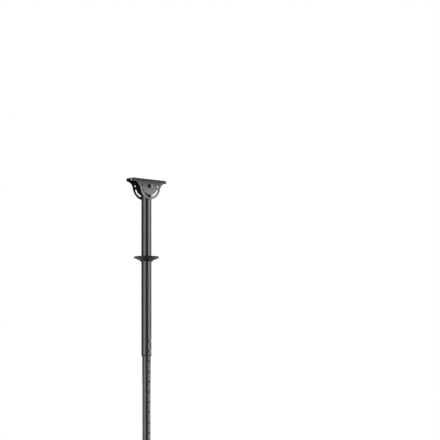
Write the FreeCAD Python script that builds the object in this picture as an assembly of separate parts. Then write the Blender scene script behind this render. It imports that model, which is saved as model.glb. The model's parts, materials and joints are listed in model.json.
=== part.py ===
import FreeCAD
import Part

import math
import os
from dataclasses import dataclass

# Telescopic television ceiling mount, in millimetres with +Z up.
# The origin is the centre of the ceiling bracket's top face, so the mount hangs below z = 0.
# The pole's bolts lie along Y, and the screen plate faces -Y.

# Ceiling bracket: one folded sheet with two bell-shaped cheeks
BRACKET_LENGTH = 210.0
BRACKET_SHEET = 3.0
BRACKET_BEND = 3.0
CHEEK_GAP = 54.0
EAR_HEIGHT = 16.0
EAR_CORNER = 3.0
EAR_FLAT = 0.5
CHEEK_RADIUS = 66.0
CHEEK_FILLET = 37.0
PIVOT_DROP = 35.0
SLOT_EDGE = 16.0
SLOT_OVERRUN = 1.0
TILT_LIMIT = 64.0
CROSS_HOLE_ANGLE = 90.0
CABLE_HOLE = 30.0
ANCHOR_SPACING_X = 150.0
ANCHOR_SPACING_Y = 26.0
ANCHOR_SLOT_WIDTH = 9.0
ANCHOR_SLOT_LENGTH = 25.0

# Pole: outer tube, inner tube and their guides
POLE_DIAMETER = 50.0
POLE_WALL = 2.0
POLE_ABOVE_PIVOT = 10.0
POLE_END = 877.0
INNER_DIAMETER = 42.4
INNER_WALL = 2.0
INNER_TOP = 500.0
INNER_END = 1465.0
BUSH_LENGTH = 90.0
BUSH_FLANGE = 5.0
BUSH_FLANGE_DIAMETER = 49.0
RING_LENGTH = 40.0
RING_LIP = 2.0
RING_SLIT = 4.0
HEIGHT_STEP = 50.0
LOWEST_BOLT_RISE = 19.0
HEIGHT_BOLT_COUNT = 2
CAP_FLANGE = 3.0
CAP_DEPTH = 14.0
CAP_WALL = 2.0

# Ceiling cover: shallow conical shell that slides on the pole
COVER_DIAMETER = 125.0
COVER_TOP = 388.0
COVER_LIP = 6.0
COVER_CONE = 14.0
COVER_COLLAR = 4.0
COVER_WALL = 2.5
COVER_EDGE = 1.0
GRIP_DIAMETER = 58.0
GRIP_HEIGHT = 5.0

# Bolts, nuts and washers
PIVOT_BOLT = 10.0
PIVOT_HEAD = 16.0
PIVOT_HEAD_HEIGHT = 10.0
PIVOT_SOCKET = 8.0
PIVOT_SOCKET_DEPTH = 5.0
PIVOT_NUT = 17.0
PIVOT_NUT_HEIGHT = 10.0
PIVOT_WASHER = 24.0
PIVOT_SPRING = 18.0
CAP_BOLT = 8.0
CAP_HEAD = 13.0
CAP_HEAD_HEIGHT = 8.0
CAP_SOCKET = 6.0
CAP_SOCKET_DEPTH = 4.0
CAP_NUT = 13.0
CAP_NUT_HEIGHT = 8.0
CAP_WASHER = 18.0
CAP_SPRING = 14.8
WASHER_SHEET = 2.0
SPRING_SHEET = 2.2
SPRING_SLIT = 1.5
PLATE_BOLT = 6.0
PLATE_BOLT_HEAD = 12.0
PLATE_NUT = 10.0
PLATE_NUT_HEIGHT = 5.0
THREAD_PAST_NUT = 3.0
PLATE_THREAD_PAST_NUT = 1.5
BREAK_EDGE = 0.8

# Screen head: sleeve with a yoke, tilt bracket and screen plate
SCREEN_RISE = 35.0
SLEEVE_LENGTH = 90.0
SLEEVE_WALL = 3.0
SLEEVE_BOLT_PITCH = 50.0
YOKE_WIDTH = 70.0
YOKE_HEIGHT = 70.0
YOKE_SHEET = 3.0
YOKE_BEND = 3.0
YOKE_NOSE = 17.0
TILT_AXIS = 60.0
HEAD_LENGTH = 130.0
HEAD_SHEET = 3.0
HEAD_BEND = 3.0
HEAD_EAR = 14.0
HEAD_CORNER = 3.0
HEAD_RADIUS = 32.0
HEAD_FILLET = 11.0
HEAD_DROP = 45.0
HEAD_LOCK_RADIUS = 21.0
HEAD_TILT = 15.0
HEAD_BOLT_SPACING_X = 40.0
HEAD_BOLT_SPACING_Z = 92.0
PLATE_MARGIN = 15.0
PLATE_SHEET = 3.0
PLATE_CORNER = 15.0
LARGE_SPACING = 200.0
LARGE_HOLE = 8.5
SMALL_SPACING = 100.0
SMALL_HOLE = 5.0
PLATE_WINDOW = 46.0
PLATE_WINDOW_CORNER = 8.0

# Clearances
BOLT_CLEARANCE = 0.3
FACE_CLEARANCE = 0.2
SLIDE_CLEARANCE = 0.3
SEAT_CLEARANCE = 0.1
SLOT_CLEARANCE = 0.5
OVERCUT = 1.0

# Values worked out from the sizes above
X_AXIS = FreeCAD.Vector(1, 0, 0)
Y_AXIS = FreeCAD.Vector(0, 1, 0)
Z_AXIS = FreeCAD.Vector(0, 0, 1)
ORIGIN = FreeCAD.Vector(0, 0, 0)
POLE_RADIUS = POLE_DIAMETER / 2
POLE_BORE = POLE_RADIUS - POLE_WALL
INNER_RADIUS = INNER_DIAMETER / 2
INNER_BORE = INNER_RADIUS - INNER_WALL
BRACKET_HALF_WIDTH = CHEEK_GAP / 2 + BRACKET_SHEET
LOCK_RADIUS = CHEEK_RADIUS - SLOT_EDGE
PIVOT_Z = -PIVOT_DROP
LOCK_Z = PIVOT_Z - LOCK_RADIUS
SCREEN_CENTRE = INNER_END - SCREEN_RISE
SLEEVE_RADIUS = INNER_RADIUS + SEAT_CLEARANCE + SLEEVE_WALL
HEAD_HALF_WIDTH = YOKE_WIDTH / 2 + FACE_CLEARANCE + HEAD_SHEET
PLATE_SIDE = LARGE_SPACING + 2 * PLATE_MARGIN
PLATE_BACK = -TILT_AXIS - HEAD_DROP
PLATE_FRONT = PLATE_BACK - PLATE_SHEET


@dataclass
class BoltSet:
    """Sizes of a socket-head bolt with its nut, its two flat washers and its spring washer."""

    shank: float
    head: float
    head_height: float
    socket: float
    socket_depth: float
    nut: float
    nut_height: float
    washer: float
    spring: float


PIVOT_SET = BoltSet(PIVOT_BOLT, PIVOT_HEAD, PIVOT_HEAD_HEIGHT, PIVOT_SOCKET, PIVOT_SOCKET_DEPTH,
                    PIVOT_NUT, PIVOT_NUT_HEIGHT, PIVOT_WASHER, PIVOT_SPRING)
CAP_SET = BoltSet(CAP_BOLT, CAP_HEAD, CAP_HEAD_HEIGHT, CAP_SOCKET, CAP_SOCKET_DEPTH,
                  CAP_NUT, CAP_NUT_HEIGHT, CAP_WASHER, CAP_SPRING)


def prism(edges, sweep):
    """Extrude the closed outline made of the edges along the sweep vector."""
    return Part.Face(Part.Wire(edges)).extrude(sweep)


def line(start, end):
    """Straight edge between two points."""
    return Part.LineSegment(start, end).toShape()


def arc(start, middle, end):
    """Circular edge through three points."""
    return Part.Arc(start, middle, end).toShape()


def turned(profile):
    """Solid of revolution about Z from a polygon of (radius, height) points."""
    points = [FreeCAD.Vector(radius, 0, height) for radius, height in profile]
    outline = Part.makePolygon(points + points[:1])
    return Part.Face(outline).revolve(ORIGIN, Z_AXIS, 360)


def aimed(shape, base, direction):
    """Copy of a shape whose local +Z points along direction, with its origin at base."""
    placed = shape.copy()
    placed.Placement = FreeCAD.Placement(base, FreeCAD.Rotation(Z_AXIS, direction))
    return placed


def rod(radius, start, end):
    """Round bar between two points."""
    along = end.sub(start)
    return Part.makeCylinder(radius, along.Length, start, along)


def upright_tube(outer, bore, bottom, top):
    """Round tube standing on the Z axis."""
    return turned([(bore, bottom), (outer, bottom), (outer, top), (bore, top)])


def cross_hole(radius, height, reach_front, reach_back):
    """Round cutter along Y through the pole's axis at a height."""
    return rod(radius, FreeCAD.Vector(0, reach_front, height), FreeCAD.Vector(0, reach_back, height))


def hexagon(across_flats, height):
    """Hexagonal bar standing on z = 0."""
    corner = across_flats / math.sqrt(3)
    points = []
    for index in range(6):
        angle = math.radians(60 * index)
        points.append(FreeCAD.Vector(corner * math.cos(angle), corner * math.sin(angle), 0))
    outline = Part.makePolygon(points + points[:1])
    return Part.Face(outline).extrude(FreeCAD.Vector(0, 0, height))


def socket_bolt(shank, length, head, head_height, socket, socket_depth):
    """Socket-head bolt: the head stands on z = 0 and the shank runs down from it."""
    body = turned([
        (0, -length),
        (shank / 2 - BREAK_EDGE, -length),
        (shank / 2, BREAK_EDGE - length),
        (shank / 2, 0),
        (head / 2, 0),
        (head / 2, head_height - BREAK_EDGE),
        (head / 2 - BREAK_EDGE, head_height),
        (0, head_height),
    ])
    recess = hexagon(socket, socket_depth + OVERCUT)
    recess.translate(FreeCAD.Vector(0, 0, head_height - socket_depth))
    return body.cut(recess)


def hex_nut(across_flats, height, bore):
    """Hexagonal nut on z = 0 whose outer corners are turned off."""
    corner = across_flats / math.sqrt(3) + BREAK_EDGE
    rounding = turned([
        (0, 0),
        (corner, 0),
        (corner, height - (corner - across_flats / 2) / 2),
        (across_flats / 2, height),
        (0, height),
    ])
    blank = hexagon(across_flats, height).common(rounding)
    return blank.cut(rod(bore, FreeCAD.Vector(0, 0, -OVERCUT), FreeCAD.Vector(0, 0, height + OVERCUT)))


def washer(diameter, bore, thickness):
    """Flat washer on z = 0."""
    return upright_tube(diameter / 2, bore, 0, thickness)


def spring_washer(diameter, bore):
    """Split spring washer on z = 0."""
    ring = upright_tube(diameter / 2, bore, 0, SPRING_SHEET)
    return ring.cut(Part.makeBox(diameter, SPRING_SLIT, SPRING_SHEET, FreeCAD.Vector(0, -SPRING_SLIT / 2, 0)))


def bell_outline(half_length, ear, corner, radius, fillet, drop):
    """Edges of a bell-shaped cheek in the XZ plane, below a straight top edge on z = 0.

    The cheek is a disc about the pivot at z = -drop, and concave fillets lead it into two ears.
    A fillet is at most as large as the ear's foot leaves room for beside its flat.
    """
    foot = half_length - corner - EAR_FLAT
    room = (foot ** 2 / (radius + drop - ear) - (radius - drop + ear)) / 2
    fillet = min(fillet, room)
    fillet_z = -ear - fillet
    rise = fillet_z + drop
    fillet_x = math.sqrt((radius + fillet) ** 2 - rise ** 2)
    to_disc = FreeCAD.Vector(-fillet_x, 0, -rise).normalize()
    midway = (to_disc + Z_AXIS).normalize()
    round_off = corner * (1 - math.sqrt(0.5))

    def mirrored(side, x, z):
        return FreeCAD.Vector(side * x, 0, z)

    def flank(side):
        top = mirrored(side, half_length, 0)
        ear_side = mirrored(side, half_length, corner - ear)
        ear_mid = mirrored(side, half_length - round_off, round_off - ear)
        ear_foot = mirrored(side, half_length - corner, -ear)
        fillet_start = mirrored(side, fillet_x, -ear)
        fillet_mid = mirrored(side, fillet_x + fillet * midway.x, fillet_z + fillet * midway.z)
        fillet_end = mirrored(side, fillet_x + fillet * to_disc.x, fillet_z + fillet * to_disc.z)
        edges = [
            line(top, ear_side),
            arc(ear_side, ear_mid, ear_foot),
            line(ear_foot, fillet_start),
            arc(fillet_start, fillet_mid, fillet_end),
        ]
        return top, fillet_end, edges

    right_top, right_end, right_edges = flank(1)
    left_top, left_end, left_edges = flank(-1)
    disc = arc(right_end, FreeCAD.Vector(0, 0, -drop - radius), left_end)
    return right_edges + [disc] + left_edges[::-1] + [line(left_top, right_top)]


def folded_channel(half_width, sheet, bend, depth, length):
    """Channel along X: a web on z = 0 and two walls bent down from it."""

    def rounded_block(half, top, bottom, radius):
        rest = radius * (1 - math.sqrt(0.5))
        left_low = FreeCAD.Vector(-length / 2, -half, bottom)
        left_high = FreeCAD.Vector(-length / 2, -half, top - radius)
        left_mid = FreeCAD.Vector(-length / 2, -half + rest, top - rest)
        left_top = FreeCAD.Vector(-length / 2, -half + radius, top)
        right_top = FreeCAD.Vector(-length / 2, half - radius, top)
        right_mid = FreeCAD.Vector(-length / 2, half - rest, top - rest)
        right_high = FreeCAD.Vector(-length / 2, half, top - radius)
        right_low = FreeCAD.Vector(-length / 2, half, bottom)
        outline = [
            line(left_low, left_high),
            arc(left_high, left_mid, left_top),
            line(left_top, right_top),
            arc(right_top, right_mid, right_high),
            line(right_high, right_low),
            line(right_low, left_low),
        ]
        return prism(outline, X_AXIS * length)

    outside = rounded_block(half_width, 0, -depth, bend + sheet)
    inside = rounded_block(half_width - sheet, -sheet, -depth - OVERCUT, bend)
    return outside.cut(inside)


def arc_slot(radius, half_angle, width, drop, half_width):
    """Cutter along Y for a slot that follows a circle about the pivot, centred straight down."""
    reach = math.radians(half_angle)
    front = -half_width - OVERCUT

    def at(distance, angle):
        return FreeCAD.Vector(distance * math.sin(angle), front, -drop - distance * math.cos(angle))

    outer = radius + width / 2
    inner = radius - width / 2
    end_bulge = reach + width / 2 / radius
    outline = [
        arc(at(outer, -reach), at(outer, 0), at(outer, reach)),
        arc(at(outer, reach), at(radius, end_bulge), at(inner, reach)),
        arc(at(inner, reach), at(inner, 0), at(inner, -reach)),
        arc(at(inner, -reach), at(radius, -end_bulge), at(outer, -reach)),
    ]
    return prism(outline, Y_AXIS * (2 * (half_width + OVERCUT)))


def belled_bracket(length, half_width, sheet, bend, bell, drop, radius):
    """Folded channel whose two walls are cut to a bell outline."""
    channel = folded_channel(half_width, sheet, bend, drop + radius, length)
    outline = prism(bell, Y_AXIS * (2 * (half_width + OVERCUT)))
    outline.translate(Y_AXIS * (-half_width - OVERCUT))
    return channel.common(outline)


def through_bore(radius, x, z, half_width):
    """Round cutter along Y through both cheeks of a bracket."""
    start = FreeCAD.Vector(x, -half_width - OVERCUT, z)
    return rod(radius, start, start + Y_AXIS * (2 * (half_width + OVERCUT)))


def anchor_slot(x, y):
    """Cutter for one round-ended slot in the bracket's top."""
    radius = ANCHOR_SLOT_WIDTH / 2
    straight = ANCHOR_SLOT_LENGTH - ANCHOR_SLOT_WIDTH
    low = -BRACKET_SHEET - OVERCUT
    height = BRACKET_SHEET + 2 * OVERCUT
    block = Part.makeBox(straight, ANCHOR_SLOT_WIDTH, height,
                         FreeCAD.Vector(x - straight / 2, y - radius, low))
    ends = [Part.makeCylinder(radius, height, FreeCAD.Vector(x + side * straight / 2, y, low))
            for side in (-1, 1)]
    return block.fuse(ends)


def ceiling_bracket():
    """Bracket that is screwed to the ceiling, with arc slots for the tilting pole."""
    bell = bell_outline(BRACKET_LENGTH / 2, EAR_HEIGHT, EAR_CORNER, CHEEK_RADIUS, CHEEK_FILLET, PIVOT_DROP)
    body = belled_bracket(BRACKET_LENGTH, BRACKET_HALF_WIDTH, BRACKET_SHEET, BRACKET_BEND,
                          bell, PIVOT_DROP, CHEEK_RADIUS)
    slot_width = CAP_BOLT + 2 * SLOT_CLEARANCE
    cutters = [
        through_bore(PIVOT_BOLT / 2 + BOLT_CLEARANCE, 0, PIVOT_Z, BRACKET_HALF_WIDTH),
        arc_slot(LOCK_RADIUS, TILT_LIMIT + SLOT_OVERRUN, slot_width, PIVOT_DROP, BRACKET_HALF_WIDTH),
        rod(CABLE_HOLE / 2, FreeCAD.Vector(0, 0, -BRACKET_SHEET - OVERCUT), FreeCAD.Vector(0, 0, OVERCUT)),
    ]
    cross = math.radians(CROSS_HOLE_ANGLE)
    for side in (-1, 1):
        x = side * LOCK_RADIUS * math.sin(cross)
        z = PIVOT_Z - LOCK_RADIUS * math.cos(cross)
        cutters.append(through_bore(slot_width / 2, x, z, BRACKET_HALF_WIDTH))
        for across in (-1, 1):
            cutters.append(anchor_slot(side * ANCHOR_SPACING_X / 2, across * ANCHOR_SPACING_Y / 2))
    return body.cut(cutters)


def outer_tube(bolt_heights):
    """Upper tube of the pole, drilled for the pivot, the tilt lock and the height bolts."""
    tube = upright_tube(POLE_RADIUS, POLE_BORE, -POLE_END, PIVOT_Z + POLE_ABOVE_PIVOT)
    reach = POLE_RADIUS + OVERCUT
    cutters = [
        cross_hole(PIVOT_BOLT / 2 + BOLT_CLEARANCE, PIVOT_Z, -reach, reach),
        cross_hole(CAP_BOLT / 2 + BOLT_CLEARANCE, LOCK_Z, -reach, reach),
    ]
    for height in bolt_heights:
        cutters.append(cross_hole(CAP_BOLT / 2 + BOLT_CLEARANCE, height, -reach, 0))
    return tube.cut(cutters)


def guide_bush(bolt_heights):
    """Plastic liner in the outer tube's lower end, with a flange under the tube."""
    bore = INNER_RADIUS + SLIDE_CLEARANCE
    outer = POLE_BORE - SEAT_CLEARANCE
    liner = turned([
        (bore, -POLE_END - BUSH_FLANGE),
        (BUSH_FLANGE_DIAMETER / 2, -POLE_END - BUSH_FLANGE),
        (BUSH_FLANGE_DIAMETER / 2, -POLE_END),
        (outer, -POLE_END),
        (outer, BUSH_LENGTH - POLE_END),
        (bore, BUSH_LENGTH - POLE_END),
    ])
    cutters = [cross_hole(CAP_BOLT / 2 + BOLT_CLEARANCE, height, -POLE_RADIUS, 0) for height in bolt_heights]
    return liner.cut(cutters)


def inner_tube(bolt_heights):
    """Lower tube of the pole, with a row of height holes through its front wall."""
    tube = upright_tube(INNER_RADIUS, INNER_BORE, -INNER_END, -INNER_TOP)
    reach = INNER_RADIUS + OVERCUT
    top_hole = max(bolt_heights)
    while top_hole + HEIGHT_STEP < -INNER_TOP - RING_LENGTH:
        top_hole += HEIGHT_STEP
    lowest = -INNER_END + SLEEVE_LENGTH + HEIGHT_STEP
    cutters = []
    height = top_hole
    while height > lowest:
        cutters.append(cross_hole(CAP_BOLT / 2 + BOLT_CLEARANCE, height, -reach, 0))
        height -= HEIGHT_STEP
    for bolt in sleeve_bolt_heights():
        cutters.append(cross_hole(CAP_BOLT / 2 + BOLT_CLEARANCE, bolt, 0, reach))
    return tube.cut(cutters)


def slide_ring():
    """Split plastic ring that hooks over the inner tube's top and guides it in the outer tube."""
    top = -INNER_TOP + RING_LIP
    ring = turned([
        (INNER_RADIUS + SEAT_CLEARANCE, -INNER_TOP - RING_LENGTH),
        (POLE_BORE - SLIDE_CLEARANCE, -INNER_TOP - RING_LENGTH),
        (POLE_BORE - SLIDE_CLEARANCE, top),
        (INNER_BORE, top),
        (INNER_BORE, -INNER_TOP),
        (INNER_RADIUS + SEAT_CLEARANCE, -INNER_TOP),
    ])
    slit = Part.makeBox(POLE_RADIUS, RING_SLIT, RING_LENGTH + RING_LIP,
                        FreeCAD.Vector(0, -RING_SLIT / 2, -INNER_TOP - RING_LENGTH))
    return ring.cut(slit)


def end_cap():
    """Open plastic cap that lines the inner tube's lower end where the cables leave."""
    plug = INNER_BORE - SEAT_CLEARANCE
    return turned([
        (plug - CAP_WALL, -INNER_END - CAP_FLANGE),
        (INNER_RADIUS, -INNER_END - CAP_FLANGE),
        (INNER_RADIUS, -INNER_END),
        (plug, -INNER_END),
        (plug, CAP_DEPTH - INNER_END),
        (plug - CAP_WALL, CAP_DEPTH - INNER_END),
    ])


def ceiling_cover():
    """Conical cover: an open dish with a collar that slides on the pole."""
    bore = POLE_RADIUS + SLIDE_CLEARANCE
    rim = COVER_DIAMETER / 2
    seat = GRIP_DIAMETER / 2 + SEAT_CLEARANCE
    collar = seat + COVER_WALL
    lip_foot = -COVER_TOP - COVER_LIP
    cone_foot = lip_foot - COVER_CONE
    foot = cone_foot - COVER_COLLAR
    return turned([
        (bore, foot),
        (collar - COVER_EDGE, foot),
        (collar, foot + COVER_EDGE),
        (collar, cone_foot),
        (rim, lip_foot),
        (rim, -COVER_TOP - COVER_EDGE),
        (rim - COVER_EDGE, -COVER_TOP),
        (rim - COVER_WALL, -COVER_TOP),
        (rim - COVER_WALL, lip_foot + COVER_WALL / 2),
        (seat, cone_foot + COVER_WALL),
        (seat, foot + COVER_WALL),
        (bore, foot + COVER_WALL),
    ])


def cover_grip():
    """Rubber ring in the cover's collar that holds it on the pole."""
    floor = -COVER_TOP - COVER_LIP - COVER_CONE - COVER_COLLAR + COVER_WALL
    return upright_tube(GRIP_DIAMETER / 2, POLE_RADIUS + SLIDE_CLEARANCE, floor, floor + GRIP_HEIGHT)


def bolted_pair(sizes, outer, seat, axis):
    """Bolt, nut, flat washers and spring washer through a pair of cheeks whose outer faces are at +-outer.

    seat is the point of the bolt's axis midway between the cheeks, and the head is on the -axis side.
    """
    face = outer + FACE_CLEARANCE
    under_nut = face + WASHER_SHEET
    under_head = under_nut + SPRING_SHEET
    length = under_head + under_nut + sizes.nut_height + THREAD_PAST_NUT
    bore = sizes.shank / 2 + BOLT_CLEARANCE
    bolt = socket_bolt(sizes.shank, length, sizes.head, sizes.head_height, sizes.socket, sizes.socket_depth)
    nut = hex_nut(sizes.nut, sizes.nut_height, sizes.shank / 2 + SEAT_CLEARANCE)
    disc = washer(sizes.washer, bore, WASHER_SHEET)
    return (
        aimed(bolt, seat - axis * under_head, axis * -1),
        aimed(nut, seat + axis * under_nut, axis),
        [aimed(disc, seat + axis * (side * face), axis * side) for side in (-1, 1)],
        aimed(spring_washer(sizes.spring, bore), seat - axis * under_nut, axis * -1),
    )


def side_washers():
    """Plastic washers between the pole and the cheeks, two at each bolt."""
    thickness = CHEEK_GAP / 2 - POLE_RADIUS - 2 * FACE_CLEARANCE
    washers = []
    for size, diameter, height in ((PIVOT_BOLT, PIVOT_WASHER, PIVOT_Z), (CAP_BOLT, CAP_WASHER, LOCK_Z)):
        disc = washer(diameter, size / 2 + BOLT_CLEARANCE, thickness)
        for side in (-1, 1):
            seat = FreeCAD.Vector(0, side * (POLE_RADIUS + FACE_CLEARANCE), height)
            washers.append(aimed(disc, seat, Y_AXIS * side))
    return washers


def height_bolt_heights():
    """Heights of the bolts low on the outer tube, the lowest first."""
    lowest = -POLE_END + LOWEST_BOLT_RISE
    return [lowest + index * HEIGHT_STEP for index in range(HEIGHT_BOLT_COUNT)]


def height_bolt(height):
    """Bolt in the outer tube's front wall, backed out to clear the inner tube."""
    seat = POLE_RADIUS + SEAT_CLEARANCE
    length = seat - INNER_RADIUS - SLIDE_CLEARANCE
    shape = socket_bolt(CAP_BOLT, length, CAP_HEAD, CAP_HEAD_HEIGHT, CAP_SOCKET, CAP_SOCKET_DEPTH)
    return aimed(shape, FreeCAD.Vector(0, -seat, height), Y_AXIS * -1)


def sleeve_bolt_heights():
    """Heights of the two bolts that hold the head's sleeve on the inner tube."""
    middle = -INNER_END + SLEEVE_LENGTH / 2
    return [middle + side * SLEEVE_BOLT_PITCH / 2 for side in (-1, 1)]


def sleeve_bolt(height):
    """Bolt through the back of the sleeve into the inner tube's wall."""
    seat = SLEEVE_RADIUS + SEAT_CLEARANCE
    shape = socket_bolt(CAP_BOLT, seat - INNER_BORE, CAP_HEAD, CAP_HEAD_HEIGHT, CAP_SOCKET,
                        CAP_SOCKET_DEPTH)
    return aimed(shape, FreeCAD.Vector(0, seat, height), Y_AXIS)


def head_yoke():
    """Sleeve on the inner tube with a welded yoke that carries the tilt bracket."""
    sleeve = rod(SLEEVE_RADIUS, FreeCAD.Vector(0, 0, -INNER_END),
                 FreeCAD.Vector(0, 0, SLEEVE_LENGTH - INNER_END))
    web_front = -SLEEVE_RADIUS - YOKE_SHEET + SLEEVE_WALL / 2
    web_back = web_front + YOKE_SHEET
    depth = web_back + TILT_AXIS + YOKE_NOSE
    channel = folded_channel(YOKE_WIDTH / 2, YOKE_SHEET, YOKE_BEND, depth, YOKE_HEIGHT)
    channel.rotate(ORIGIN, X_AXIS, -90)
    channel.rotate(ORIGIN, Y_AXIS, 90)
    channel.translate(FreeCAD.Vector(0, web_back, -SCREEN_CENTRE))
    nose = yoke_side_outline(web_back)
    body = channel.common(nose).fuse(sleeve)
    cutters = [rod(INNER_RADIUS + SEAT_CLEARANCE, FreeCAD.Vector(0, 0, -INNER_END - OVERCUT),
                   FreeCAD.Vector(0, 0, SLEEVE_LENGTH - INNER_END + OVERCUT))]
    reach = X_AXIS * (YOKE_WIDTH / 2 + OVERCUT)
    for y in (-TILT_AXIS, HEAD_LOCK_RADIUS - TILT_AXIS):
        centre = FreeCAD.Vector(0, y, -SCREEN_CENTRE)
        cutters.append(rod(CAP_BOLT / 2 + BOLT_CLEARANCE, centre - reach, centre + reach))
    for height in sleeve_bolt_heights():
        cutters.append(cross_hole(CAP_BOLT / 2 + BOLT_CLEARANCE, height, 0, SLEEVE_RADIUS + OVERCUT))
    return body.cut(cutters)


def yoke_side_outline(back):
    """Block whose side outline narrows from the yoke's web to a round nose about the tilt axis."""
    x = -YOKE_WIDTH / 2 - OVERCUT
    half = YOKE_HEIGHT / 2
    shoulder = back - YOKE_SHEET - YOKE_BEND

    def at(y, rise):
        return FreeCAD.Vector(x, y, rise - SCREEN_CENTRE)

    outline = [
        line(at(back, -half), at(back, half)),
        line(at(back, half), at(shoulder, half)),
        line(at(shoulder, half), at(-TILT_AXIS, YOKE_NOSE)),
        arc(at(-TILT_AXIS, YOKE_NOSE), at(-TILT_AXIS - YOKE_NOSE, 0), at(-TILT_AXIS, -YOKE_NOSE)),
        line(at(-TILT_AXIS, -YOKE_NOSE), at(shoulder, -half)),
        line(at(shoulder, -half), at(back, -half)),
    ]
    return prism(outline, X_AXIS * (YOKE_WIDTH + 2 * OVERCUT))


def tilt_bracket():
    """Smaller belled bracket behind the screen plate, with arc slots for the screen's tilt."""
    bell = bell_outline(HEAD_LENGTH / 2, HEAD_EAR, HEAD_CORNER, HEAD_RADIUS, HEAD_FILLET, HEAD_DROP)
    body = belled_bracket(HEAD_LENGTH, HEAD_HALF_WIDTH, HEAD_SHEET, HEAD_BEND, bell, HEAD_DROP, HEAD_RADIUS)
    cutters = [
        through_bore(CAP_BOLT / 2 + BOLT_CLEARANCE, 0, -HEAD_DROP, HEAD_HALF_WIDTH),
        arc_slot(HEAD_LOCK_RADIUS, HEAD_TILT, CAP_BOLT + 2 * SLOT_CLEARANCE, HEAD_DROP, HEAD_HALF_WIDTH),
    ]
    for x, z in plate_bolt_places():
        cutters.append(rod(PLATE_BOLT / 2 + BOLT_CLEARANCE, FreeCAD.Vector(z, x, OVERCUT),
                           FreeCAD.Vector(z, x, -HEAD_SHEET - OVERCUT)))
    bracket = body.cut(cutters)
    bracket.rotate(ORIGIN, X_AXIS, 90)
    bracket.rotate(ORIGIN, Y_AXIS, 90)
    bracket.translate(FreeCAD.Vector(0, PLATE_BACK, -SCREEN_CENTRE))
    return bracket


def plate_bolt_places():
    """Places of the bolts between plate and tilt bracket, as (x, rise) from the screen's centre."""
    return [(side * HEAD_BOLT_SPACING_X / 2, end * HEAD_BOLT_SPACING_Z / 2)
            for side in (-1, 1) for end in (-1, 1)]


def countersunk_bolt(shank, head, head_depth, length):
    """Countersunk bolt: the flat head's top is on z = 0 and the shank runs down from it."""
    return turned([
        (0, -length),
        (shank, -length),
        (shank, -head_depth),
        (head, 0),
        (0, 0),
    ])


def plate_bolts():
    """Countersunk bolts through the plate and the tilt bracket, and their nuts."""
    length = PLATE_SHEET + HEAD_SHEET + PLATE_NUT_HEIGHT + PLATE_THREAD_PAST_NUT
    bolt = countersunk_bolt(PLATE_BOLT / 2, PLATE_BOLT_HEAD / 2, PLATE_SHEET, length)
    nut = hex_nut(PLATE_NUT, PLATE_NUT_HEIGHT, PLATE_BOLT / 2 + SEAT_CLEARANCE)
    bolts = []
    nuts = []
    for x, rise in plate_bolt_places():
        bolts.append(aimed(bolt, FreeCAD.Vector(x, PLATE_FRONT, rise - SCREEN_CENTRE), Y_AXIS * -1))
        nuts.append(aimed(nut, FreeCAD.Vector(x, PLATE_BACK + HEAD_SHEET, rise - SCREEN_CENTRE), Y_AXIS))
    return bolts, nuts


def rounded_square(side, corner, front, back, centre_x, centre_z):
    """Square block with rounded corners, standing across Y."""
    block = Part.makeBox(side, back - front, side,
                         FreeCAD.Vector(centre_x - side / 2, front, centre_z - side / 2))
    uprights = [edge for edge in block.Edges if abs(edge.Vertexes[0].Y - edge.Vertexes[1].Y) > 0]
    return block.makeFillet(corner, uprights)


def screen_plate():
    """Plate that the screen's back is screwed to, with two square hole patterns."""
    plate = rounded_square(PLATE_SIDE, PLATE_CORNER, PLATE_FRONT, PLATE_BACK, 0, -SCREEN_CENTRE)
    cutters = []
    for spacing, diameter in ((LARGE_SPACING, LARGE_HOLE), (SMALL_SPACING, SMALL_HOLE)):
        for side in (-1, 1):
            for end in (-1, 1):
                start = FreeCAD.Vector(side * spacing / 2, PLATE_FRONT - OVERCUT,
                                       end * spacing / 2 - SCREEN_CENTRE)
                cutters.append(rod(diameter / 2, start, start + Y_AXIS * (PLATE_SHEET + 2 * OVERCUT)))
    window_offset = (LARGE_SPACING + SMALL_SPACING) / 4
    for side in (-1, 1):
        cutters.append(rounded_square(PLATE_WINDOW, PLATE_WINDOW_CORNER, PLATE_FRONT - OVERCUT,
                                      PLATE_BACK + OVERCUT, side * window_offset, -SCREEN_CENTRE))
    sink = countersunk_bolt(PLATE_BOLT / 2 + BOLT_CLEARANCE, PLATE_BOLT_HEAD / 2 + SEAT_CLEARANCE,
                            PLATE_SHEET, PLATE_SHEET + OVERCUT)
    for x, rise in plate_bolt_places():
        cutters.append(aimed(sink, FreeCAD.Vector(x, PLATE_FRONT, rise - SCREEN_CENTRE), Y_AXIS * -1))
    return plate.cut(cutters)


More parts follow.
